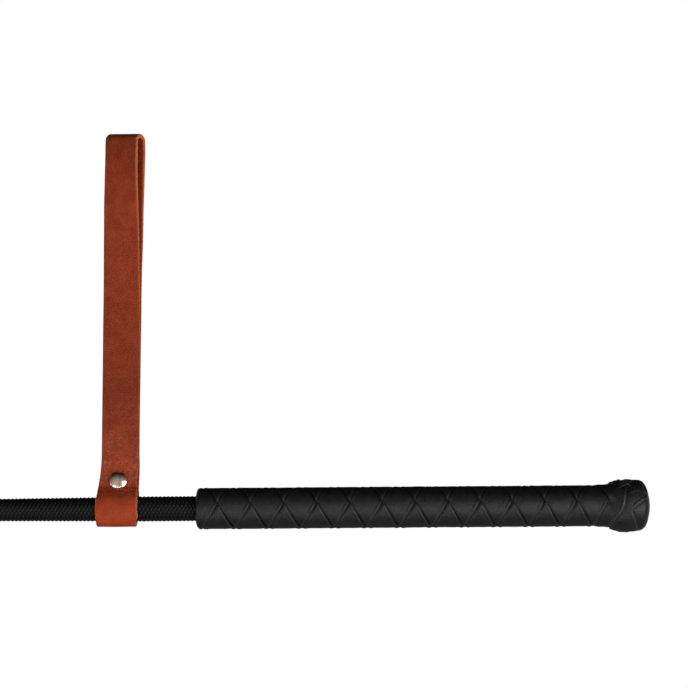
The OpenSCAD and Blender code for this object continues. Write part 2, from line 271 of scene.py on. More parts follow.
class Surface:
    """A node material being built. Its texture coordinates are in mm."""

    INPUTS = {"color": "Base Color", "rough": "Roughness", "metal": "Metallic",
              "specular": "Specular IOR Level", "sheen": "Sheen Weight",
              "sheen_rough": "Sheen Roughness"}

    def __init__(self, name, coords="UV"):
        self.material = bpy.data.materials.new(name)
        self.material.use_nodes = True
        self.tree = self.material.node_tree
        self.shader = self.tree.nodes["Principled BSDF"]
        source = self.tree.nodes.new("ShaderNodeTexCoord").outputs[coords]
        scale = 1.0 if coords == "UV" else 1000.0      # object coordinates come in metres
        self.place = self.stretch(scale, scale, scale, place=source)

    def node(self, kind, inputs, **settings):
        """A node with its settings, and its inputs linked or set."""
        node = self.tree.nodes.new(kind)
        for key, value in settings.items():
            setattr(node, key, value)
        for key, value in inputs.items():
            plug(self.tree, node.inputs[key], value)
        return node

    def stretch(self, x, y, z, place=None):
        return self.node("ShaderNodeMapping", {
            "Vector": place or self.place, "Scale": (x, y, z)}).outputs["Vector"]

    def noise(self, scale, detail, rough, place=None):
        return self.node("ShaderNodeTexNoise", {
            "Vector": place or self.place, "Scale": scale, "Detail": detail,
            "Roughness": rough}).outputs["Fac"]

    def cell_edges(self, scale, place):
        """Distance to the nearest border of a cell pattern."""
        return self.node("ShaderNodeTexVoronoi", {"Vector": place, "Scale": scale},
                         feature="DISTANCE_TO_EDGE").outputs["Distance"]

    def math(self, operation, a, b, clamp=False):
        return math_node(self.tree, operation, a, b, clamp)

    def ramp(self, value, low, high, start=0.0, end=1.0):
        """Eases from start to end as value goes from low to high."""
        return self.node("ShaderNodeMapRange", {
            "Value": value, "From Min": low, "From Max": high, "To Min": start,
            "To Max": end}, interpolation_type="SMOOTHSTEP").outputs["Result"]

    def mix(self, factor, a, b):
        node = self.node("ShaderNodeMix", {0: factor}, data_type="RGBA")
        plug(self.tree, node.inputs[6], a)
        plug(self.tree, node.inputs[7], b)
        return node.outputs[2]

    def tint(self, base, color, where, amount, clamp=False):
        """Mixes a colour into base where a mask is high."""
        return self.mix(self.math("MULTIPLY", where, amount, clamp), base, color)

    def warp(self, amount, scale, place=None):
        """Coordinates pushed about by noise."""
        place = place or self.place
        noise = self.node("ShaderNodeTexNoise", {"Vector": place, "Scale": scale})
        centred = self.node("ShaderNodeVectorMath", {
            0: noise.outputs["Color"], 1: (0.5, 0.5, 0.5)}, operation="SUBTRACT")
        push = self.node("ShaderNodeVectorMath", {
            0: centred.outputs[0], "Scale": amount}, operation="SCALE")
        return self.node("ShaderNodeVectorMath", {0: place, 1: push.outputs[0]},
                         operation="ADD").outputs[0]

    def attribute(self, name):
        return self.node("ShaderNodeAttribute", {}, attribute_name=name).outputs["Fac"]

    def bump(self, height, strength, depth):
        node = self.node("ShaderNodeBump", {
            "Strength": strength, "Distance": depth * MM, "Height": height})
        self.tree.links.new(node.outputs["Normal"], self.shader.inputs["Normal"])

    def finish(self, **values):
        for key, value in values.items():
            plug(self.tree, self.shader.inputs[self.INPUTS[key]], value)
        return self.material


def leather_grain(m, cell):
    """Height of pebbled leather grain: rounded cells, finer cells inside them and pores."""
    big = m.cell_edges(1.0 / cell, m.warp(amount=0.9 * cell, scale=0.6 / cell))
    small = m.cell_edges(2.3 / cell, m.warp(amount=0.4 * cell, scale=1.6 / cell))
    big = m.ramp(big, low=0.0, high=0.35)
    small = m.ramp(small, low=0.0, high=0.30)
    pores = m.noise(scale=9.0 / cell, detail=3.0, rough=0.6)
    h = m.math("ADD", m.math("MULTIPLY", big, 0.55), m.math("MULTIPLY", small, 0.35))
    return m.math("ADD", h, m.math("MULTIPLY", pores, 0.25))


# ---------------------------------------------------------------- materials
def brown_leather():
    m = Surface("brown_leather_grain")
    grain = leather_grain(m, cell=0.75)
    cloud = m.noise(scale=0.16, detail=4.0, rough=0.6)
    patch = m.noise(scale=0.55, detail=3.0, rough=0.55)
    base = m.mix(m.ramp(cloud, low=0.33, high=0.70),
                 (0.295, 0.038, 0.010, 1), (0.380, 0.056, 0.017, 1))
    base = m.tint(base, (0.44, 0.073, 0.027, 1), m.ramp(patch, low=0.52, high=0.78), 0.20)
    base = m.tint(base, (0.49, 0.092, 0.038, 1), m.ramp(grain, low=0.55, high=0.95), 0.18)
    base = m.tint(base, (0.14, 0.016, 0.005, 1), m.ramp(grain, low=0.42, high=0.10), 0.45)
    base = m.tint(base, (0.49, 0.112, 0.055, 1), m.attribute("wear"), 0.26, clamp=True)
    # wrinkles: a broken net of pale lines, strong where the leather is worn
    net = m.cell_edges(0.56, m.warp(amount=1.5, scale=0.55, place=m.stretch(1.25, 0.85, 1.0)))
    net = m.ramp(net, low=0.02, high=0.20, start=1.0, end=0.0)
    broken = m.ramp(m.noise(scale=0.42, detail=3.0, rough=0.6), low=0.38, high=0.62)
    strength = m.math("ADD", m.math("MULTIPLY", m.attribute("wear"), 2.2), 0.04)
    crease = m.math("MULTIPLY", m.math("MULTIPLY", net, broken), strength, clamp=True)
    base = m.tint(base, (0.57, 0.185, 0.115, 1), crease, 0.58)
    m.bump(m.math("ADD", grain, m.math("MULTIPLY", crease, 1.0)), strength=0.7, depth=0.20)
    # painted light and shade: the leather colour scaled by the painted light value of each strap station
    toned = m.node("ShaderNodeHueSaturation", {"Color": base, "Value": m.attribute("tone")})
    return m.finish(color=toned.outputs["Color"], specular=0.125,
                    rough=m.ramp(cloud, low=0.2, high=0.8, start=0.50, end=0.60))


def brown_edge():
    m = Surface("brown_leather_cut_edge")
    fibre = m.noise(scale=2.2, detail=5.0, rough=0.7, place=m.stretch(0.6, 2.4, 1.0))
    color = m.mix(m.ramp(fibre, low=0.30, high=0.72), srgb(168, 78, 44), srgb(238, 142, 92))
    m.bump(m.noise(scale=5.0, detail=4.0, rough=0.7), strength=0.8, depth=0.2)
    return m.finish(color=color, rough=0.85, specular=0.15)


def brown_flesh():
    m = Surface("brown_leather_flesh_side")
    fibre = m.noise(scale=3.0, detail=6.0, rough=0.75, place=m.stretch(0.7, 1.0, 1.0))
    color = m.mix(m.ramp(fibre, low=0.30, high=0.75), srgb(136, 42, 18), srgb(184, 74, 38))
    m.bump(m.noise(scale=6.0, detail=5.0, rough=0.8), strength=0.9, depth=0.25)
    return m.finish(color=color, rough=0.95, specular=0.08, sheen=0.08, sheen_rough=0.5)


def black_leather():
    m = Surface("black_plait_leather")
    grain = leather_grain(m, cell=1.1)
    m.bump(grain, strength=0.65, depth=0.12)
    cloud = m.noise(scale=0.3, detail=4.0, rough=0.6)
    base = m.mix(m.ramp(cloud, low=0.3, high=0.75),
                 (0.0036, 0.0036, 0.0038, 1), (0.0068, 0.0068, 0.007, 1))
    base = m.tint(base, grey(0.014), m.ramp(grain, low=0.5, high=0.95), 0.30)
    # painted highlight: the black leather is painted paler along strand edges and ridges
    base = m.tint(base, grey(0.034), m.attribute("wear"), 0.7, clamp=True)
    return m.finish(color=base, specular=0.42,
                    rough=m.ramp(cloud, low=0.2, high=0.8, start=0.40, end=0.49))


def cord():
    m = Surface("black_braided_cord")
    filament = m.noise(scale=1.0, detail=3.0, rough=0.6, place=m.stretch(0.5, 9.0, 1.0))
    fuzz = m.noise(scale=4.0, detail=4.0, rough=0.7)
    color = m.mix(m.ramp(filament, low=0.3, high=0.7),
                  (0.0015, 0.0015, 0.0016, 1), (0.009, 0.009, 0.0094, 1))
    height = m.math("ADD", m.math("MULTIPLY", filament, 0.8), m.math("MULTIPLY", fuzz, 0.15))
    m.bump(height, strength=0.5, depth=0.08)
    return m.finish(color=color, rough=0.38, specular=0.18)


def nickel():
    m = Surface("nickel_plate", "Object")
    scratches = m.noise(scale=0.5, detail=4.0, rough=0.6, place=m.stretch(9.0, 1.0, 1.0))
    fine = m.noise(scale=1.3, detail=5.0, rough=0.6)
    # painted reflection: the warm tint paints in the warm surroundings the plate reflects
    color = m.mix(m.ramp(fine, low=0.3, high=0.75),
                  (0.95, 0.69, 0.51, 1), (0.98, 0.78, 0.62, 1))
    m.bump(m.math("ADD", scratches, m.math("MULTIPLY", fine, 0.7)), strength=0.10, depth=0.05)
    return m.finish(color=color, metal=1.0,
                    rough=m.ramp(fine, low=0.3, high=0.8, start=0.10, end=0.17))


def thread(name, dark, pale):
    m = Surface(name)
    ply = m.noise(scale=1.0, detail=2.0, rough=0.5, place=m.stretch(2.4, 1.4, 1.0))
    fine = m.noise(scale=7.0, detail=4.0, rough=0.7)
    color = m.mix(m.ramp(ply, low=0.3, high=0.7), dark, pale)
    m.bump(m.math("ADD", ply, m.math("MULTIPLY", fine, 0.4)), strength=0.7, depth=0.10)
    return m.finish(color=color, rough=0.6, specular=0.35, sheen=0.1)


def mottled(name, dark, pale, rough, scale, metal=0.0, stretch=(1, 1, 1)):
    """A plain material with one cloudy noise, for the CAD pieces that are kept."""
    m = Surface(name, "Object")
    cloud = m.noise(scale=scale, detail=5.0, rough=0.65, place=m.stretch(*stretch))
    color = m.mix(m.ramp(cloud, low=0.3, high=0.72), dark, pale)
    m.bump(cloud, strength=0.3, depth=0.1)
    return m.finish(color=color, rough=rough, metal=metal, specular=0.4)


BLACK_WAX = ((0.010, 0.010, 0.011, 1), (0.035, 0.035, 0.037, 1))    # dark, pale
BLACK_PLASTIC = (grey(0.012), grey(0.03))
LEATHER = brown_leather()
EDGE = brown_edge()
FLESH = brown_flesh()
BLACK = black_leather()
CORD = cord()
NICKEL = nickel()
WAXED = thread("waxed_black_thread", *BLACK_WAX)
LINEN = thread("waxed_linen_thread", srgb(150, 130, 98), srgb(205, 188, 150))
KEPT_PIECES = {     # by material slot
    "glass_fibre": mottled("glass_fibre_rod", srgb(170, 168, 140), srgb(205, 202, 176),
                           rough=0.45, scale=0.5, stretch=(0.05, 3, 3)),
    "linen_tape": mottled("linen_tape", srgb(150, 140, 118), srgb(190, 182, 158),
                          rough=0.9, scale=2.0),
    "tip_plastic": mottled("tip_cap_plastic", *BLACK_PLASTIC, rough=0.5, scale=3.0),
    "turned_wood": mottled("turned_beech", srgb(150, 108, 70), srgb(196, 156, 112),
                           rough=0.6, scale=0.8, stretch=(0.08, 1.5, 1.5)),
    "padding_felt": mottled("padding_felt", grey(0.05), grey(0.12), rough=0.95, scale=3.0),
    "collar_plastic": mottled("front_ring_plastic", *BLACK_PLASTIC, rough=0.5, scale=3.0),
    "waxed_thread": mottled("inner_waxed_thread", *BLACK_WAX, rough=0.6, scale=5.0),
    "steel": mottled("nail_steel", (0.45, 0.45, 0.47, 1), (0.6, 0.6, 0.62, 1),
                     rough=0.35, metal=1.0, scale=2.0),
    "nickel": NICKEL,
}


def dress_kept_pieces():
    slots = {s["node"]: s["material_slot"] for s in frame["record"]["subparts"]}
    for node, ob in frame["nodes"].items():
        if slots[node] in KEPT_PIECES:
            ob.data.materials.clear()
            ob.data.materials.append(KEPT_PIECES[slots[node]])


dress_kept_pieces()


# ---------------------------------------------------------------- places taken from the frame
def box_mm(node):
    """Low and high corners of a CAD piece."""
    return [np.array([p.x, p.y, p.z]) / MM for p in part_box(node)]


def joint(name):
    """Place of a joint, in metres."""
    return next(j for j in frame["joints"] if j["name"] == name)["pos_m"]


WRAP_X = sum(box_mm("strap_wrap"))[0] / 2
LOOP_Y = sum(box_mm("strap_loop"))[1] / 2
LOOP_TOP = box_mm("strap_loop")[1][2]
FOLD = joint("loop_fold")
LEAN = math.atan2(FOLD[1], FOLD[2])         # radians, lean of the strap at the rivet towards +Y
SLEEVE_FRONT = box_mm("braid_sleeve")[0][0]
SLEEVE_R = box_mm("braid_sleeve")[1][2]
FLAP_X0 = box_mm("keeper_flap")[0][0]       # far end of the keeper
FLAP_LEAF, FLAP_HALF = box_mm("keeper_flap")[1][1:]     # half thickness, half height
KEEPER_X = joint("keeper_flex")[0] / MM

# ---------------------------------------------------------------- meridian of grip and knob
GRIP_R = 9.3
MERIDIAN = [    # (x, radius)
    (-0.7, 5.45), (-0.7, 6.3), (-0.6, 7.4), (-0.35, 8.3), (0.05, 8.9), (0.7, 9.22),
    (1.6, GRIP_R), (20, GRIP_R), (90, GRIP_R), (176, GRIP_R), (179, GRIP_R), (181, 9.42),
    (182.7, 9.65), (184.5, 10.15), (185.4, 10.55), (186.3, 11.0), (187.2, 11.4),
    (188.1, 11.65), (189.9, 11.92), (192, 12.02), (193.5, 11.98), (195.75, 11.75),
    (197.1, 11.5), (198.9, 11.1), (199.8, 10.72), (200.6, 10.0), (201.1, 9.4), (201.55, 8.5),
    (201.95, 7.3), (202.35, 5.5), (202.85, 3.4), (203.08, 1.5), (203.2, 0.0)]


def meridian():
    """Length, x, radius and outward normal along the smoothed meridian. Length is 100 at x = 100."""
    points = np.array(MERIDIAN)
    length = path_length(points)
    even = np.arange(0, length[-1], 0.05)
    kernel = np.hanning(17)
    kernel /= kernel.sum()
    x, r = (np.convolve(np.pad(np.interp(even, length, column), 8, "reflect",
                               reflect_type="odd"), kernel, "valid") for column in points.T)
    length = path_length(np.stack([x, r], -1))
    length += 100.0 - length[np.argmin(abs(x - 100.0))]
    dx, dr = np.gradient(x), np.gradient(r)
    size = np.hypot(dx, dr)
    return length, x, r, -dr / size, dx / size


M_LENGTH, M_X, M_R, M_NORMAL_X, M_NORMAL_R = meridian()
POLE = M_LENGTH[-1]


def on_grip(m, phi, h):
    """Points at meridian length m, angle phi and height h above the surface of the grip."""
    x = np.interp(m, M_LENGTH, M_X) + h * np.interp(m, M_LENGTH, M_NORMAL_X)
    r = np.interp(m, M_LENGTH, M_R) + h * np.interp(m, M_LENGTH, M_NORMAL_R)
    return around(x, np.maximum(r, 0.0), phi)


def knob_length(x):
    """Meridian length at x on the knob."""
    knob = M_LENGTH > 150
    return np.interp(x, M_X[knob], M_LENGTH[knob])


# ---------------------------------------------------------------- plaited strands
CELL = 7.35             # nominal length of a plait cell along the grip
STRAND_WIDTH = 13.07    # the V of one strand's face
STRAND_CELL = 16.07     # the U of one cell along a strand
UNDER_DEPTH = 0.66      # how deep a strand lies where it passes under
DIVE = 0.10             # part of a cell in which it goes down
STRAND_EDGE = np.array([0.004, 0.007, 0.011, 0.016, 0.022, 0.029, 0.037, 0.046, 0.058, 0.074,
                        0.096, 0.13, 0.17, 0.23, 0.31, 0.40])   # columns across, dense at the edge


def cell_length(cells):
    """Meridian length at a plait cell count. The cells shorten slightly towards the knob."""
    t = np.asarray(cells, float) - 1.0
    return 9.23 + 7.43 * t - 0.006375 * t * t


def plait_turn(cells):
    """How far the plait has turned round the grip at a cell count, in degrees."""
    return 5.0 + 3.8 * smooth(np.asarray(cells, float) / 10.0)


CELL_TABLE = np.linspace(-6, 40, 2000)
CELL_LENGTHS = cell_length(CELL_TABLE)


def plait_strand(name, node, hand, number, cells, seed):
    """One flat strand. Its place along is u and its place across is v, both counted in cells."""
    v_face = np.concatenate([STRAND_EDGE, [0.5], 1 - STRAND_EDGE[::-1]])
    v = np.concatenate([v_face, np.linspace(1 - 0.012, 0.012, 9)])
    start, end = cells
    u = np.linspace(start, end, int((end - start) * 30) + 1)
    uu, vv = np.meshgrid(u, v, indexing="ij")
    # a and b count the strands of either hand that are crossed
    if hand > 0:
        a, b = number + vv, uu
        over = (np.floor(uu) + number) % 2 == 0
    else:
        a, b = -uu, number + vv
        over = (np.floor(-uu) + number) % 2 != 0
    along = b - a
    phi = 90 * (a + b) - 74.3 + plait_turn(along)
    part = uu - np.floor(uu)
    to_crossing = np.minimum(part, 1 - part)
    top = np.where(over, smooth(to_crossing / DIVE), 0.0)
    edge = np.minimum(vv, 1 - vv)
    face = np.arange(len(v)) < len(v_face)

    q = xyz(along * CELL, phi * 0.16, hand * 3.1 + number)
    rough = 0.10 * fbm(q / 9.0, seed) + 0.050 * fbm(q / 2.0, seed + 5)
    high = smooth((np.sin(np.radians(phi)) - 0.02) / 0.35)      # towards the upper side the edge ridges are lower and the painted edge highlight fainter
    ridge = 0.15 * (1 - 0.75 * high) * bell(edge, 0.050, 0.030) - 0.05 * bell(edge, 0.125, 0.040)
    swell = 0.04 * bell(to_crossing, 0.26, 0.10)
    sunk = -UNDER_DEPTH * (1 - top)
    h = sunk + top * (ridge + swell + rough - 0.06) - 0.24 * edge_drop(edge, 0.017)
    h = np.where(face, h, sunk - 0.80)
    wavy = 0.010 * noise3(xyz(uu * 5.0, np.where(vv > 0.5, 9.0, 2.0), 0.0), seed + 3)
    m = cell_length(along) - hand * wavy * CELL * (edge < 0.2)

    # painted highlight along the raised strand edges, fainter towards the upper side
    wear = top * bell(edge, 0.040, 0.026) * (0.55 + 0.45 * np.clip(fbm(q / 3.0, seed + 9), -1, 1))
    wear = np.where(face, np.clip(wear * (1 - 0.9 * high), 0, 1), 0)
    # each strand has its own place in the texture
    across = np.append(v, 2) * STRAND_WIDTH + number * 40 + (hand > 0) * 90
    ob = tube(name, [(on_grip(m, phi, h), u * STRAND_CELL, across)], [BLACK], wear=wear)
    settle(ob, "crop", "black_leather", node)


plait_strand("plait_strand_a1", "plait_strand_1", 1, 0, cells=(-1.30, 25.85), seed=11)
plait_strand("plait_strand_a2", "plait_strand_2", 1, 1, cells=(-0.30, 26.85), seed=12)
plait_strand("plait_strand_b1", "plait_strand_3", -1, 0, cells=(-1.55, 23.95), seed=13)
plait_strand("plait_strand_b2", "plait_strand_4", -1, 1, cells=(-2.55, 22.95), seed=14)

# ---------------------------------------------------------------- knob cover
# Edges of the strands on the knob: points (x, angle), then the height of the ridge, the depth of
# the step and the distance in which the sunken side rises again. The strand on the left of the
# line lies on top. The same set repeats half a turn round.
KNOB_LINES = [
    ([(184.4, -74), (185.3, -56), (186.4, -36), (187.5, -23.3), (188.97, -13.3), (190.1, -0.5),
      (190.8, 12.7), (191.2, 25.0), (191.5, 36), (192.2, 47.1), (193.5, 61), (194.9, 74)],
     0.24, 0.55, 2.2),
    ([(194.0, -5.6), (195.6, 1.8), (197.7, 9.5), (199.6, 16.1), (201.2, 19.5)], 0.22, 0.55, 1.6),
    ([(199.8, -84), (198.4, -68), (196.9, -52.7), (196.1, -33.6), (195.2, -21.6),
      (194.3, -11.1), (193.9, -5.0)], 0.20, 0.50, 1.8),
    ([(201.2, 40), (199.4, 43.5), (197.8, 47.0), (195.5, 44.8), (193.6, 40.4), (191.9, 35.0)],
     0.18, 0.50, 1.6),
    ([(188.6, 44), (188.9, 48.4), (191.1, 56.6), (193.4, 58.6), (195.4, 57)], 0.16, 0.42, 1.2),
    ([(187.6, 54), (188.9, 59.5), (191.1, 67.0), (193.5, 70.3), (196.0, 72)], 0.16, 0.40, 1.2),
    ([(200.6, 42), (199.9, 53.0), (198.7, 72.2), (196.9, 81.6), (193.6, 92), (192.9, 112)],
     0.18, 0.45, 1.3),
    ([(184.4, 122), (184.7, 95), (185.2, 78), (186.6, 62)], 0.14, 0.40, 1.2),
    ([(188.7, 104), (188.5, 88), (188.9, 74), (190.2, 66)], 0.14, 0.40, 1.2),
]
UPPER_FOLDS = [     # (height, x, width) of swells and hollows across the upper side
    (-0.40, 191.4, 2.6), (0.26, 198.6, 1.9), (-0.16, 195.0, 0.8), (-0.20, 190.3, 0.5),
    (-0.14, 186.6, 0.5)]
KNOB_ARC = 0.2          # mm per degree round the knob, about its largest circle
LINE_STEP = 0.12
COVER_CELL = 24         # plait cell where the cover's zigzag edge has its inner corners
COVER_START = 23.45     # cell count at the hidden edge of the cover
PAST_EDGE = 3.119025    # mm square to the zigzag edge for one cell along


def cover_edge(m, phi):
    """Height, painted edge highlight and distance past the zigzag where the cover meets the plait.

    The cover lies over the plait along two of the four edges and under along the others."""
    corner = 15.7 + float(plait_turn(COVER_CELL))
    phase = ((phi - corner) / 90.0) % 2.0       # 0..1: the cover is on top, 1..2: the plait is
    zigzag = COVER_CELL + 1 - np.abs(phase - np.where(phase > 1, 2.0, 0.0))
    past = (np.interp(m, CELL_LENGTHS, CELL_TABLE) - zigzag) * PAST_EDGE
    over = smooth(0.5 + np.sin(np.pi * phase) / (0.25 + 0.9 * np.clip(past, 0, 6)))
    raised = np.where(past > 0, 0.15 * bell(past, 0.85, 0.5) - 0.34 * edge_drop(past, 0.42), -1.3)
    sunken = -0.98 * (1 - smooth((past - 0.2) / 4.2))
    # painted highlight along the raised edge of the cover
    wear = over * np.where(past > 0, bell(past, 0.6, 0.45), 0) * 0.7
    return over * raised + (1 - over) * sunken, wear, past


def strand_line(base, points, turn, ridge, depth, fade):
    """The grid points near one strand edge, and the height and painted highlight it gives them."""
    x, phi = np.array(points, float).T
    if turn:        # the far side differs a little
        x = x + 0.35 * np.sin(phi * 0.07)
    line = curve_through(np.stack([knob_length(x), (phi + turn) * KNOB_ARC], -1), LINE_STEP)
    m, phi = line[:, 0], line[:, 1] / KNOB_ARC
    path = on_grip(m, phi, 0.0)
    tangent = np.gradient(path, axis=0)
    tangent /= np.linalg.norm(tangent, axis=1)[:, None]
    normal = around(np.interp(m, M_LENGTH, M_NORMAL_X), np.interp(m, M_LENGTH, M_NORMAL_R), phi)
    side = np.cross(tangent, normal)
    count = np.arange(len(path))
    taper = smooth(np.minimum(count, count[::-1]) * LINE_STEP / 2.2 + 0.12)

    reach = np.ptp(path[:, 0]) / 2 + 6
    near = np.where(np.abs(base[..., 0] - path[:, 0].mean()) < reach)
    spots = base[near]
    best = np.full(len(spots), 1e9)
    nearest = np.zeros(len(spots), int)
    for i, point in enumerate(path):
        squared = ((spots - point) ** 2).sum(1)
        closer = squared < best
        best[closer] = squared[closer]
        nearest[closer] = i
    offset = spots - path[nearest]
    s = (offset * side[nearest]).sum(1)         # positive on the sunken side
    along = (offset * tangent[nearest]).sum(1)
    fall = bell(along, 0, 1.0) * taper[nearest] * (np.sqrt(best) < 9.0)
    low = s > 0
    sunken = -1.25 * depth * np.exp(-s.clip(0) / fade) * smooth(s / 0.16 + 0.3)
    raised = 1.15 * ridge * bell(s, -0.92, 0.58) - 0.10 * bell(s, 0, 0.14)
    raised -= 0.14 * (1 - smooth(-s / 0.22))
    # painted highlight on the raised side of the strand edge
    wear = np.where(low, 0, bell(s, -0.60, 0.48))
    return near, np.where(low, sunken, raised) * fall, wear * fall


def knob_relief(mm, pp):
    """Height and painted highlight of the cover at meridian lengths mm and angles pp."""
    base = on_grip(mm, pp, 0.0)
    x = base[..., 0]
    h, wear, past = cover_edge(mm, pp)
    for turn in (0, 180):
        for points, ridge, depth, fade in KNOB_LINES:
            near, height, edge_glint = strand_line(base, points, turn, ridge, depth, fade)
            h[near] += height
            wear[near] = np.maximum(wear[near], edge_glint)
    h += (0.10 * fbm(base / 4.5, 31) + 0.045 * fbm(base / 1.3, 33)) * smooth((past + 0.2) / 1.0)
    # puckers where the leather turns over the shoulder
    for turn in (0, 180):
        centre = on_grip(knob_length(199.0), 9.0 + turn, 0.0)
        patch = bell(np.linalg.norm(base - centre, axis=-1), 0, 2.6)
        wave = (x * 0.75 + (pp - turn) * KNOB_ARC * 0.9) * 2 * math.pi / 1.25
        h += patch * 0.06 * np.sin(wave + 1.1 * noise3(base / 1.1, 41))
        # painted highlight over the puckers
        wear = np.maximum(wear, patch * 0.45)
    # smooth underneath, folded on the upper side
    h *= 1 - 0.65 * bell(pp, 270, 16.0) * smooth((x - 187.0) / 2.0)
    h += bell(pp, 90, 32.0) * sum(height * bell(x, at, width) for height, at, width in UPPER_FOLDS)
    # painted shade: the painted highlight fades out on the upper side
    wear *= 1 - 0.85 * smooth((np.sin(np.radians(pp)) - 0.25) / 0.4)
    # the leather lies smooth over the middle of the end
    calm = smooth((POLE - mm) / 7.0)
    return np.clip(h, -1.4, 0.42) * calm, wear * calm


def knob_cover():
    rows, columns = 299, 480
    start = float(cell_length(COVER_START))
    lengths = (start + (POLE - start) * np.linspace(0, 1, rows + 1) ** 0.97)[:-1]
    phis = np.arange(columns) * 360.0 / columns
    mm, pp = np.meshgrid(lengths, phis, indexing="ij")
    h, wear = knob_relief(mm, pp)
    # two rings below the surface turn in a lip at the hidden edge
    lip = [on_grip(np.full(columns, lengths[0] + inset), phis, -1.9) for inset in (0, 2.0)]
    verts = np.vstack([on_grip(mm, pp, h).reshape(-1, 3), [[M_X[-1], 0, 0]], *lip])

    faces, corners = tube_faces(rows, columns, caps=False)
    tip, last = rows * columns, (rows - 1) * columns
    faces += [[last + j, last + (j + 1) % columns, tip] for j in range(columns)]
    tip_corners = [[(rows - 1, j), (rows - 1, j + 1), (rows, j)] for j in range(columns)]
    corners = np.concatenate([corners, np.array(tip_corners).reshape(-1, 2)])
    U = np.append(lengths, POLE)
    V = np.arange(columns + 1) * 360.0 / columns * KNOB_ARC
    uv = np.stack([U[corners[:, 0]], V[corners[:, 1]]], -1)

    first, second = tip + 1, tip + 1 + columns
    lip_uv = []
    for j in range(columns):
        j2 = (j + 1) % columns
        for a, b, u in ((0, first, U[0]), (first, second, U[0] - 2)):
            faces.append([a + j2, a + j, b + j, b + j2])
            lip_uv += [(u, V[j + 1]), (u, V[j]), (u - 2, V[j]), (u - 2, V[j + 1])]
    faces.append([second + j for j in range(columns)])
    lip_uv += [(U[0] - 5, V[j]) for j in range(columns)]
    wear = np.append(wear.ravel(), np.zeros(1 + 2 * columns))
    ob = build("knob_cover_leather", verts, faces, np.vstack([uv, lip_uv]), [BLACK],
               wear=np.clip(wear, 0, 1))
    recalculate_normals(ob)
    settle(ob, "crop", "black_leather", "pommel_cover")


knob_cover()

# ---------------------------------------------------------------- braided cord
CORDS = 8               # strands of each hand
BRAID_R = 5.3           # radius the strand width is worked out at
BRAID_STEP = 0.89       # length of a braid cell along the shaft at that radius
BRAID_START = 1.4       # x where the braid begins, hidden in the grip


def sleeve_profile():
    """Stations and outer radii of the CAD sleeve, read from its mesh."""
    mesh = frame["nodes"]["braid_sleeve"].data
    co = np.array([v.co for v in mesh.vertices]) / MM
    radius = np.hypot(co[:, 1], co[:, 2])
    full = co[radius > SLEEVE_R - 0.01, 0].min()
    tip_radius = radius[np.abs(co[:, 0] - SLEEVE_FRONT) < 0.05].max()
    return [SLEEVE_FRONT, full, co[:, 0].max()], [tip_radius, SLEEVE_R, SLEEVE_R]


SLEEVE_STATIONS, SLEEVE_RADII = sleeve_profile()


def sleeve_r(x):
    return np.interp(x, SLEEVE_STATIONS, SLEEVE_RADII)


def braid(name, hand, seed):
    """All cord strands of one hand, each over one and under one of the other hand."""
    # the strands keep their width, so the cells get longer where the shaft is thinner
    stations = np.linspace(BRAID_START, SLEEVE_FRONT - 0.2, 900)
    pitch = 2 * math.pi * BRAID_R / CORDS
    width = pitch * math.cos(math.atan2(pitch / 2, BRAID_STEP))
    spacing = 2 * math.pi * (sleeve_r(stations) - 0.25) / CORDS
    cosine = np.clip(width / spacing, 0, 0.9)
    cell = (spacing / 2) * cosine / np.sqrt(1 - cosine * cosine)
    passed = np.cumsum(np.abs(np.diff(stations)) / ((cell[1:] + cell[:-1]) / 2))
    passed = np.append(0, passed)

    per_cell, ring = ((5, 8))
    u = np.arange(0, (int(passed[-1]) - 1) * per_cell + 1) / per_cell
    section = ring_angles(ring) + math.pi / 2
    uu, angle = np.meshgrid(u, section, indexing="ij")
    across = 0.5 + 0.45 * np.cos(angle)
    x = np.interp(np.clip(uu + (across - 0.5), 0, passed[-1]), passed, stations)
    wave = np.sin(math.pi * (uu - np.floor(uu)))
    over = np.floor(uu) % 2 == (0 if hand > 0 else 1)
    middle = sleeve_r(x) - 0.40 + 0.24 * smooth((x + 34.0) / 8.0)
    thickness = 0.31 * np.sin(angle) * (1 - 0.25 * (1 - wave))
    r = middle + np.where(over, 1, -1) * 0.20 * wave + thickness
    tubes = []
    for k in range(CORDS):
        phi = hand * (across - uu) * 180.0 / CORDS + k * 360.0 / CORDS + 5.5
        phi = phi + 0.6 * noise3(xyz(uu * 0.7, k * 3.3, hand * 2.0), seed)
        V = np.append(section, section[0] + 2 * math.pi) * 0.35 + k * 5
        tubes.append((around(x, r, phi), u * 2.25, V))
    ob = tube(name, tubes, [CORD])
    settle(ob, "crop", "black_cord")
    return ob


def cord_liner():
    """A dark liner that fills the chinks between the cord strands."""
    end = 2.0
    profile = [(x, sleeve_r(x) - 0.62) for x in np.linspace(SLEEVE_FRONT, end, 60)]
    profile.append((end, SLEEVE_R - 0.9))
    ob = lathe("cord_liner", profile, (0, 0, 0), (1, 0, 0), segments=48, material=CORD)
    settle(ob, "crop", "black_cord")


right_braid = braid("cord_strands_right", 1, seed=51)
braid("cord_strands_left", -1, seed=52)
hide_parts("braid_sleeve")
cord_liner()


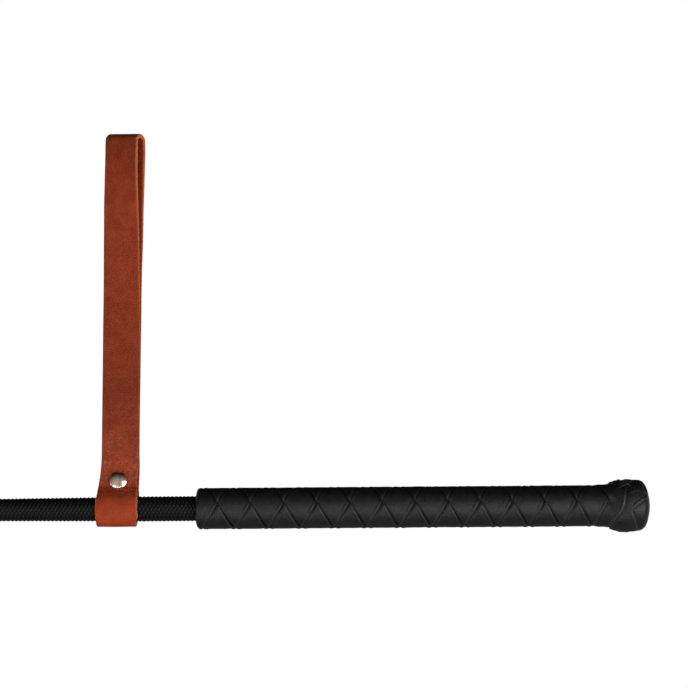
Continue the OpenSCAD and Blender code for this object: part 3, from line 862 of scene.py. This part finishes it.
# ---------------------------------------------------------------- ring at the -X end of the grip
def front_ring():
    low, high = box_mm("front_collar")
    x0, x1 = low[0], high[0]
    bore, outside = 5.50, 7.85
    x, r = np.array([(x0 + 0.05, bore), (x0 + 0.05, 6.9), (x0 + 0.35, 7.5),
                     (x0 + 1.0, outside), (x1, outside), (x1, bore)]).T
    segments = 96
    points = around(x, r, np.degrees(ring_angles(segments))[:, None])
    grid = (points, np.arange(segments + 1) * 0.5, np.arange(len(x) + 1) * 1.0)
    ob = tube("front_ring", [grid], [KEPT_PIECES["collar_plastic"]], closed=True)
    ob.data.set_sharp_from_angle(angle=math.radians(35))
    settle(ob, "crop", "collar_plastic", "front_collar")


front_ring()


# ---------------------------------------------------------------- brown strap
def lean(n, s):
    """(y, z) of a place n towards the front and s up the leaning strap."""
    return (s * math.sin(LEAN) - n * math.cos(LEAN), s * math.cos(LEAN) + n * math.sin(LEAN))


STRAP_X = WRAP_X + 0.05
STRAP_R = 6.85          # middle of the strap round the shaft
LOOP_BEND_R = 3.05      # bend at the top of the loop
LOOP_TURN = 28.5        # turn of the strap there, degrees
# What a station of the strap holds: the middle (y, z, x), the turn of its width about Z in degrees,
# the half widths of its outer and inner faces, its thickness, the raggedness of its edges, a
# shift of its width, how creased it is, the roll of its width in degrees and its painted light,
# a factor on the leather colour that paints in the light and shade the surface gets.
STATION = dict(y=0.0, z=0.0, x=STRAP_X, turn=0.0, outer=8.3, inner=8.3, thick=2.0, rag=0.06,
               shift=0.0, crease=0.0, roll=0.0, tone=1.0)
START_BEHIND = [        # (n, s, thickness)
    (-0.35, 16.9, 1.5), (-0.35, 14.5, 1.6), (-0.35, 12.2, 1.7), (-0.55, 10.4, 1.9),
    (-1.3, 8.9, 2.0), (-2.5, 7.5, 2.1), (-3.9, 6.0, 2.1)]
FRONT_RISE = [          # (n, s, outer and inner half widths, x offset, crease, painted light)
    (5.0, 4.75, 8.85, 9.05, 0.25, 0.2, 1.32), (3.75, 6.15, 8.85, 9.2, 0.10, 0.4, 1.40),
    (2.65, 7.75, 8.8, 8.98, 0.0, 0.7, 1.3), (1.85, 9.3, 8.62, 8.72, -0.05, 1.0, 1.0),
    (1.55, 11.0, 8.52, 8.6, -0.05, 1.0, 1.14), (1.55, 13.5, 8.36, 8.42, 0.0, 1.0, 1.12),
    (1.55, 15.7, 8.28, 8.34, 0.15, 1.0, 1.13)]
LEGS = [    # (z, x, half the distance between the leg middles, turn, half width, roll, painted light)
    (19.5, -35.80, 1.10, 0, 8.33, 0, 1.12), (23.5, -35.75, 1.05, 0, 8.24, 0, 1.02),
    (30, -35.66, 1.10, 0, 8.20, 0, 0.91), (40, -35.48, 1.15, 0, 8.20, 0, 0.82),
    (52, -35.22, 1.12, 0, 8.22, 0, 0.74), (64, -34.98, 1.06, 0, 8.24, 0, 0.82),
    (75, -34.78, 1.05, 1.5, 8.26, 0, 0.88), (86, -34.53, 1.10, 5, 8.26, 0, 0.91),
    (97, -34.33, 1.45, 9, 8.26, 0.2, 0.95), (108, -34.08, 1.85, 12, 8.27, 0.4, 0.99),
    (118, -33.86, 2.15, 14.5, 8.30, 0.8, 1.030), (128, -33.64, 2.40, 17.5, 8.30, 1.3, 1.070),
    (138, -33.44, 2.65, 21, 8.30, 1.8, 1.086), (147, -33.12, 2.85, 25, 8.32, 2.4, 1.035),
    (155, -32.85, 2.98, 28, 8.35, 2.6, 0.968), (161, -32.65, 3.02, LOOP_TURN, 8.38, 2.7, 0.866)]
END_BEHIND = [          # (n, s, thickness)
    (-2.05, 17.4, 1.8), (-2.0, 15.0, 1.7), (-2.0, 12.2, 1.6), (-2.05, 10.2, 1.5),
    (-2.35, 9.2, 1.2)]


def strap_stations():
    """Control stations: from the lap behind the rivet, under and round the shaft, up the front
    leg, over the top and down the back leg, whose end laps over the start."""
    stations = []

    def add(place, **values):
        stations.append({**STATION, "y": place[0], "z": place[1], **values})

    for n, s, thick in START_BEHIND:
        k = smooth((16.9 - s) / 9.0)
        add(lean(n, s), x=STRAP_X + 0.45 - 0.20 * k, outer=8.4 + 0.4 * k, inner=8.4 + 0.85 * k,
            thick=thick, rag=0.12 + 0.1 * k, tone=0.9)
    # round the shaft: 180 is behind, 270 underneath, 360 in front
    # painted light: the strap round the shaft is painted brighter than the legs
    for degrees in range(155, 385, 15):
        a = math.radians(degrees)
        k = smooth((degrees - 276) / 24)
        bulge = bell(degrees, 303, 15.0)
        add(lean(STRAP_R * math.cos(a), STRAP_R * math.sin(a)), thick=2.15, rag=0.16, tone=1.24,
            outer=8.84 + 0.08 * k + 0.10 * bulge, inner=9.0 + 0.48 * k + 0.12 * bulge,
            x=STRAP_X - 0.05 + 0.28 * k + 0.10 * bulge)
    for n, s, outer, inner, dx, crease, tone in FRONT_RISE:
        add(lean(n, s), outer=outer, inner=inner, thick=2.1, rag=0.12 + 0.15 * (n > 3),
            crease=crease, x=STRAP_X + dx, tone=tone)
    for z, x, gap, turn, half, roll, tone in LEGS:
        a = math.radians(turn)
        y = LOOP_Y - gap * math.cos(a) - (0.75 if z < 22 else 0.0)
        add((y, z), x=x - gap * math.sin(a), turn=turn, outer=half, inner=half + 0.04, rag=0.05,
            crease=0.85 * max(0.0, 1 - (z - 15) / 40), shift=-0.12 if z < 90 else 0.0,
            roll=roll, tone=tone)
    turn = math.radians(LOOP_TURN)
    for degrees in range(160, 15, -20):
        a = math.radians(degrees)
        d = LOOP_BEND_R * math.cos(a)
        add((LOOP_Y + d * math.cos(turn), LOOP_TOP - 3.62 + LOOP_BEND_R * math.sin(a)),
            x=-32.5 + d * math.sin(turn), turn=LOOP_TURN, outer=8.42, inner=8.36, rag=0.05,
            roll=2.6, tone=0.84)
    for z, x, gap, turn, half, roll, _ in LEGS[::-1]:
        a = math.radians(turn)
        shift = 0.26
        if z >= 88:
            shift = 0.26 * max(0, 1 - (z - 88) / 20) + 0.18 * max(0, min(1, (z - 100) / 20))
        add((LOOP_Y + gap * math.cos(a), z), x=x + gap * math.sin(a), turn=turn, outer=half,
            inner=half + 0.04, rag=0.05, shift=shift, roll=roll, tone=0.95)
    for n, s, thick in END_BEHIND:
        add(lean(n, s), x=STRAP_X + 0.65, thick=thick, rag=0.12, shift=0.2)
    return stations


FACE_COLUMNS, EDGE_COLUMNS = 34, 5


def strap_section(rows, length, seed):
    """Section of the strip at each row, (offset across, offset outward): outer face, one edge,
    inner face, other edge."""
    even = np.linspace(0, 1, FACE_COLUMNS)
    across = 2 * (0.35 * (0.5 - 0.5 * np.cos(math.pi * even)) + 0.65 * even) - 1
    drop = edge_drop(1 - np.abs(across), 0.06)
    edge = np.linspace(0.5, -0.5, EDGE_COLUMNS + 2)[1:-1]
    outer, inner, thick, rag, shift = (
        rows[key][:, None] for key in ("outer", "inner", "thick", "rag", "shift"))
    outer_face = np.stack([across * outer, thick / 2 - 0.30 * drop], -1)
    inner_face = np.stack([-across * inner, -thick / 2 + 0.20 * drop], -1)
    cut = np.stack([inner + (outer - inner) * (edge + 0.5), edge * thick * 0.82], -1)
    section = np.concatenate([outer_face, cut, inner_face, cut[:, ::-1] * [-1, 1]], 1)
    # ragged cut edges, less so on the outer side
    wide, out = section[..., 0], section[..., 1]
    for sign in (-1, 1):
        at_edge = (np.sign(wide) == sign) & (np.abs(wide) > 0.90 * outer)
        q = xyz(length[:, None] / 0.9, out * 0.8, sign * 5.0)
        amount = fbm(q, seed + 3) * 0.7 + noise3(q * 3.1, seed + 4) * 0.3
        wide += at_edge * sign * amount * rag * np.where(out < 0.25 * thick, 1.0, 0.25)
    wide += shift
    return section


def wrist_strap(seed=61):
    control = np.array([list(station.values()) for station in strap_stations()])
    rows = dict(zip(STATION, curve_through(control, 0.42).T))
    rows["crease"] = np.clip(rows["crease"], 0, 1)
    middle = xyz(rows["x"], rows["y"], rows["z"])
    turn, roll = np.radians(rows["turn"]), np.radians(rows["roll"])
    width = xyz(np.cos(turn) * np.cos(roll), -np.sin(turn) * np.cos(roll), -np.sin(roll))
    tangent = np.gradient(middle, axis=0)
    tangent -= (tangent * width).sum(1)[:, None] * width
    tangent /= np.linalg.norm(tangent, axis=1)[:, None]
    normal = -np.cross(tangent, width)[:, None]
    length = path_length(middle)

    section = strap_section(rows, length, seed)
    crease = rows["crease"][:, None]
    q = xyz(length[:, None], section[..., 0], 0.0)
    bumps = 0.09 * fbm(q / 7.0, seed) + 0.030 * fbm(q / 1.6, seed + 1)
    bumps += crease * 0.10 * fbm(q / np.array([1.1, 2.6, 1.0]), seed + 7)
    points = middle[:, None] + section[..., :1] * width[:, None] + section[..., 1:] * normal
    points += normal * bumps[..., None]

    wear = crease * np.clip(0.55 + 0.7 * fbm(q * np.array([0.30, 0.22, 1]), 77), 0, 1) * 0.6
    from_middle = np.abs(section[..., 0] - rows["shift"][:, None]) / rows["outer"][:, None]
    wear = np.clip(wear + np.clip((from_middle - 0.965) / 0.035, 0, 1) * 0.30, 0, 1)
    sample = section[len(section) // 3]
    V = path_length(np.vstack([sample, sample[:1]]))
    face, edge = FACE_COLUMNS - 1, EDGE_COLUMNS + 1
    columns = [0] * face + [1] * edge + [2] * face + [1] * edge
    index = np.append(np.tile(columns, len(length) - 1), [2, 2])
    # painted light and shade of each station, given to every point of its row
    tone = np.repeat(rows["tone"], len(columns))
    ob = tube("wrist_strap_leather", [(points, length, V)], [LEATHER, EDGE, FLESH], index=index,
              wear=wear, tone=tone)
    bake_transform(ob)
    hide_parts("strap_wrap", "strap_loop")


wrist_strap()


# ---------------------------------------------------------------- rivet
def rivet_cap(name, node, side, stand):
    """A domed cap; side is 1 in front and -1 behind, stand its distance from the strap's middle."""
    axis = Vector((0, -math.cos(LEAN), math.sin(LEAN))) * side
    base = Vector((WRAP_X + 0.30, *lean(0, 12.85))) + axis * stand
    if side > 0:        # the front cap sits a little more upright than the layers it holds
        axis = Vector((0, -math.cos(LEAN * 0.66), math.sin(LEAN * 0.66)))
    # (height, radius): inside and rim, then a rounded shoulder, then the dome
    profile = [(0.62, 0.0), (0.62, 3.0), (0.30, 3.65), (0.02, 3.76), (-0.02, 3.88),
               (0.03, 3.97), (0.10, 4.03)]
    for a in np.radians(np.linspace(90, 34, 10)):
        profile.append((0.208 + 0.42 * math.cos(a), 3.613 + 0.44 * math.sin(a)))
    dome_r = 6.9
    for r in np.linspace(3.80, 0, 30):
        profile.append((1.72 - (dome_r - math.sqrt(dome_r ** 2 - r ** 2)), r))
    ob = lathe(name, profile, base, axis, segments=128, material=NICKEL)
    settle(ob, "wrist_anchor", "nickel", node)


rivet_cap("rivet_cap_front", "rivet_front_cap", side=1, stand=3.05)
rivet_cap("rivet_cap_back", "rivet_back_cap", side=-1, stand=2.80)

# ---------------------------------------------------------------- keeper
# (x, half height, half thickness, squareness of the section): the neck round the tip fans out
# to a flat folded flap
KEEPER_STATIONS = [
    (KEEPER_X + 47, 3.6, 3.6, 1.0), (KEEPER_X + 44, 4.9, 4.9, 1.0),
    (KEEPER_X + 38, 5.1, 5.1, 1.0), (KEEPER_X + 22, 5.1, 5.1, 1.0),
    (KEEPER_X + 13, 5.2, 4.6, 1.1), (KEEPER_X + 9, 6.6, 3.6, 1.6), (KEEPER_X + 6, 8.8, 2.5, 2.6),
    (KEEPER_X + 3, 10.4, 1.95, 4), (KEEPER_X, 11.1, 1.85, 5), (KEEPER_X - 6, 11.6, 1.80, 6),
    (KEEPER_X - 20, 12.1, 1.80, 6), (KEEPER_X - 40, 12.9, 1.80, 6),
    (FLAP_X0 + 6, FLAP_HALF, 1.78, 6), (FLAP_X0 + 2.2, FLAP_HALF - 0.35, 1.72, 6),
    (FLAP_X0 + 0.5, FLAP_HALF - 2.6, 1.60, 6), (FLAP_X0, FLAP_HALF - 4.6, 1.35, 6)]
KEEPER_CURVE = curve_through(KEEPER_STATIONS, 0.5)
SEAM_INSET = 2.6
STITCHES, STITCH_PITCH, STITCH_LENGTH, STITCH_R = 14, 3.6, 3.25, 0.36


def keeper_leather():
    x, half, thick, square = KEEPER_CURVE.T[:, :, None]
    power = 1.0 / np.maximum(1.0, square)
    angles = ring_angles(120)
    cos, sin = np.cos(angles), np.sin(angles)
    z = half * np.sign(cos) * np.abs(cos) ** power
    y = thick * np.sign(sin) * np.abs(sin) ** power
    # a groove between the two leaves, and the leather drawn down along the seam
    groove = bell(y, 0, 0.16) * (np.abs(z) > 0.8 * half) * smooth((KEEPER_X + 8 - x) / 10.0)
    z = z - np.sign(z) * 0.45 * groove
    seam = bell(np.abs(z), half - SEAM_INSET, 0.55)
    seam = seam * smooth((KEEPER_X - 2 - x) / 3.0) * smooth((x - FLAP_X0 - 5) / 3.0)
    y = y - np.sign(y) * 0.22 * seam * (np.abs(y) > 0.7 * thick)
    points = xyz(x, y, z)
    wear = 0.5 * np.clip((np.abs(z) / half - 0.93) / 0.07, 0, 1)
    points[..., 1] += (0.10 * fbm(points / 9.0, 81) + 0.03 * fbm(points / 1.8, 82)) * np.sign(y)
    V = np.append(path_length(points[len(points) // 2]), 60.0)
    ob = tube("keeper_leather", [(points, x[:, 0], V)], [LEATHER, EDGE], wear=wear, tone=1.0)

    # the cut edges of the two leaves
    polygons = ob.data.polygons
    centres, normals = np.zeros(len(polygons) * 3), np.zeros(len(polygons) * 3)
    polygons.foreach_get("center", centres)
    polygons.foreach_get("normal", normals)
    cut = (centres[::3] / MM < KEEPER_X + 4) & (np.abs(normals[1::3]) < 0.55)
    polygons.foreach_set("material_index", cut.astype(np.int32))
    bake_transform(ob)
    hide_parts("keeper_tang", "keeper_flap")


def keeper_stitches(name, node, side):
    """The seam near the upper (side 1) or lower (-1) edge, on both faces of the flap."""
    t = np.linspace(0, 1, 13)
    angles = ring_angles(10)
    rise, widen = np.sin(angles), np.cos(angles)
    r = STITCH_R * (1 + 0.10 * np.cos(3 * angles + t[:, None] * 14))
    lift = 0.40 * np.sin(math.pi * t) ** 0.5 - 0.65 * (np.abs(t - 0.5) * 2) ** 8
    lift = (FLAP_LEAF - 0.16 + lift)[:, None]
    tubes = []
    for i in range(STITCHES):
        x = KEEPER_X - 6.2 - STITCH_PITCH * i - STITCH_LENGTH * t
        half = np.interp(x, KEEPER_CURVE[::-1, 0], KEEPER_CURVE[::-1, 1])
        z = side * (half - SEAM_INSET)[:, None]
        for face in (-1, 1):
            points = xyz(x[:, None], face * lift + r * rise, z + r * widen)
            tubes.append((points, x, np.arange(len(angles) + 1) * 0.25))
    ob = build(name, *join_tubes(tubes), [LINEN])
    recalculate_normals(ob)
    settle(ob, "keeper", "pale_thread", node)


def keeper_whipping():
    """One thread coiled round the neck."""
    turns, pitch, per_turn, thread_r = 21, 0.78, 48, 0.41
    u = np.arange(turns * per_turn + 1) / per_turn
    angle = u * 2 * math.pi
    r = 5.42 + 0.02 * np.sin(angle * 0.37)
    ring = ring_angles(10)
    ply = thread_r * (1 + 0.08 * np.cos(2 * ring + u[:, None] * 2 * math.pi * 9))
    points = around((KEEPER_X + 20.3 + pitch * u)[:, None] + ply * np.sin(ring),
                    r[:, None] + ply * np.cos(ring), u[:, None] * 360)
    grid = (points, angle * 5.4, np.arange(len(ring) + 1) * 0.26)
    ob = tube("keeper_whipping_thread", [grid], [WAXED])
    settle(ob, "crop", "waxed_thread", "keeper_whipping")


keeper_leather()
keeper_stitches("keeper_stitches_upper", "keeper_stitch_upper", 1)
keeper_stitches("keeper_stitches_lower", "keeper_stitch_lower", -1)
keeper_whipping()


# ---------------------------------------------------------------- stage, in metres
def floor():
    """A pale floor that the camera sees as plain white and that glows faintly on the crop."""
    bpy.ops.mesh.primitive_plane_add(size=1)
    ob = bpy.context.object
    ob.name = "floor"
    ob.scale = (4.0, 4.0, 1)
    ob.location = (0.0, 0.3, -0.62)
    material = bpy.data.materials.new("floor_pale")
    material.use_nodes = True
    tree = material.node_tree
    nodes, link = tree.nodes, tree.links.new
    shader = nodes["Principled BSDF"]
    shader.inputs["Base Color"].default_value = (0.55, 0.55, 0.55, 1)
    shader.inputs["Roughness"].default_value = 0.9
    white = nodes.new("ShaderNodeEmission")
    white.inputs["Strength"].default_value = 1.0
    faint = nodes.new("ShaderNodeEmission")
    faint.inputs["Strength"].default_value = 0.02
    lit = nodes.new("ShaderNodeAddShader")
    link(shader.outputs[0], lit.inputs[0])
    link(faint.outputs[0], lit.inputs[1])
    seen = nodes.new("ShaderNodeMixShader")
    link(nodes.new("ShaderNodeLightPath").outputs["Is Camera Ray"], seen.inputs["Fac"])
    link(lit.outputs[0], seen.inputs[1])
    link(white.outputs[0], seen.inputs[2])
    link(seen.outputs[0], nodes["Material Output"].inputs["Surface"])
    ob.data.materials.append(material)


def studio_world():
    """White to the camera; otherwise a room bright in front and below, dark above and behind."""
    room = 0.42         # overall strength
    world = bpy.data.worlds.new("studio")
    bpy.context.scene.world = world
    world.use_nodes = True
    tree = world.node_tree
    nodes, link = tree.nodes, tree.links.new
    white = nodes["Background"]
    white.inputs["Color"].default_value = (1, 1, 1, 1)
    white.inputs["Strength"].default_value = 1.0
    direction = nodes.new("ShaderNodeSeparateXYZ")
    link(nodes.new("ShaderNodeTexCoord").outputs["Generated"], direction.inputs[0])
    x, y, z = direction.outputs

    def calc(operation, a, b, clamp=False):
        return math_node(tree, operation, a, b, clamp)

    # how far a direction points to the front and 30 degrees down
    facing = calc("ADD", calc("MULTIPLY", y, -0.866), calc("MULTIPLY", z, -0.5))
    facing = calc("DIVIDE", calc("ADD", facing, 0.45), 1.1, clamp=True)
    strength = calc("MULTIPLY", calc("POWER", facing, 1.6), 0.98 * room)
    strength = calc("ADD", strength, 0.02 * room)
    # a dark column a little to the right
    offset = calc("DIVIDE", calc("ADD", x, -0.12), 0.07)
    column = calc("POWER", 2.718, calc("MULTIPLY", calc("MULTIPLY", offset, offset), -1.0))
    shade = calc("ADD", calc("MULTIPLY", column, -0.6), 1.0)
    dim = nodes.new("ShaderNodeBackground")
    dim.inputs["Color"].default_value = (1.0, 0.985, 0.96, 1)
    link(calc("MULTIPLY", strength, shade), dim.inputs["Strength"])
    seen = nodes.new("ShaderNodeMixShader")
    link(nodes.new("ShaderNodeLightPath").outputs["Is Camera Ray"], seen.inputs["Fac"])
    link(dim.outputs[0], seen.inputs[1])
    link(white.outputs[0], seen.inputs[2])
    link(seen.outputs[0], nodes["World Output"].inputs["Surface"])


def softbox(name, place, size, watts):
    """A rectangular light aimed at the crop and hidden from the camera."""
    data = bpy.data.lights.new(name, "AREA")
    data.shape = "RECTANGLE"
    data.size, data.size_y = size
    data.energy = watts
    ob = bpy.data.objects.new(name, data)
    bpy.context.scene.collection.objects.link(ob)
    ob.location = place
    to_crop = Vector((0.03, 0.0, 0.05)) - Vector(place)
    ob.rotation_euler = to_crop.to_track_quat("-Z", "Y").to_euler()
    ob.visible_camera = False


def camera():
    """Looks along +Y, rolled slightly."""
    distance, view_width, sensor = 0.9, 0.3096, 36
    roll = math.radians(0.42)
    right = Vector((math.cos(roll), 0, -math.sin(roll)))
    up = Vector((math.sin(roll), 0, math.cos(roll)))
    back = Vector((0, -1, 0))
    aim = right * 0.0657 + up * 0.07407
    data = bpy.data.cameras.new("camera")
    data.sensor_width = sensor
    data.lens = sensor * distance / view_width
    data.clip_end = 20
    ob = bpy.data.objects.new("camera", data)
    bpy.context.scene.collection.objects.link(ob)
    turn = Matrix((right, up, back)).transposed().to_4x4()
    ob.matrix_world = Matrix.Translation(aim + back * distance) @ turn
    bpy.context.scene.camera = ob


floor()
studio_world()
softbox("key_left", place=(-1.15, -0.30, -0.30), size=(0.5, 0.6), watts=2.4)
softbox("strip_left", place=(-0.72, -0.93, -0.42), size=(0.5, 0.32), watts=1.6)
softbox("key_right", place=(0.80, -0.89, 0.0), size=(0.6, 0.8), watts=7.6)
softbox("front_low", place=(-0.10, -1.0, -0.60), size=(1.0, 0.35), watts=3.2)
softbox("upper_front", place=(0.0, -0.95, 0.95), size=(1.5, 0.9), watts=0.05)
softbox("back_left", place=(-0.9, 1.1, -0.10), size=(1.6, 1.2), watts=3.4)
softbox("back_right", place=(0.9, 1.1, -0.10), size=(1.6, 1.2), watts=3.0)
camera()
bpy.context.scene.view_settings.view_transform = "Standard"
bpy.context.scene.view_settings.look = "None"
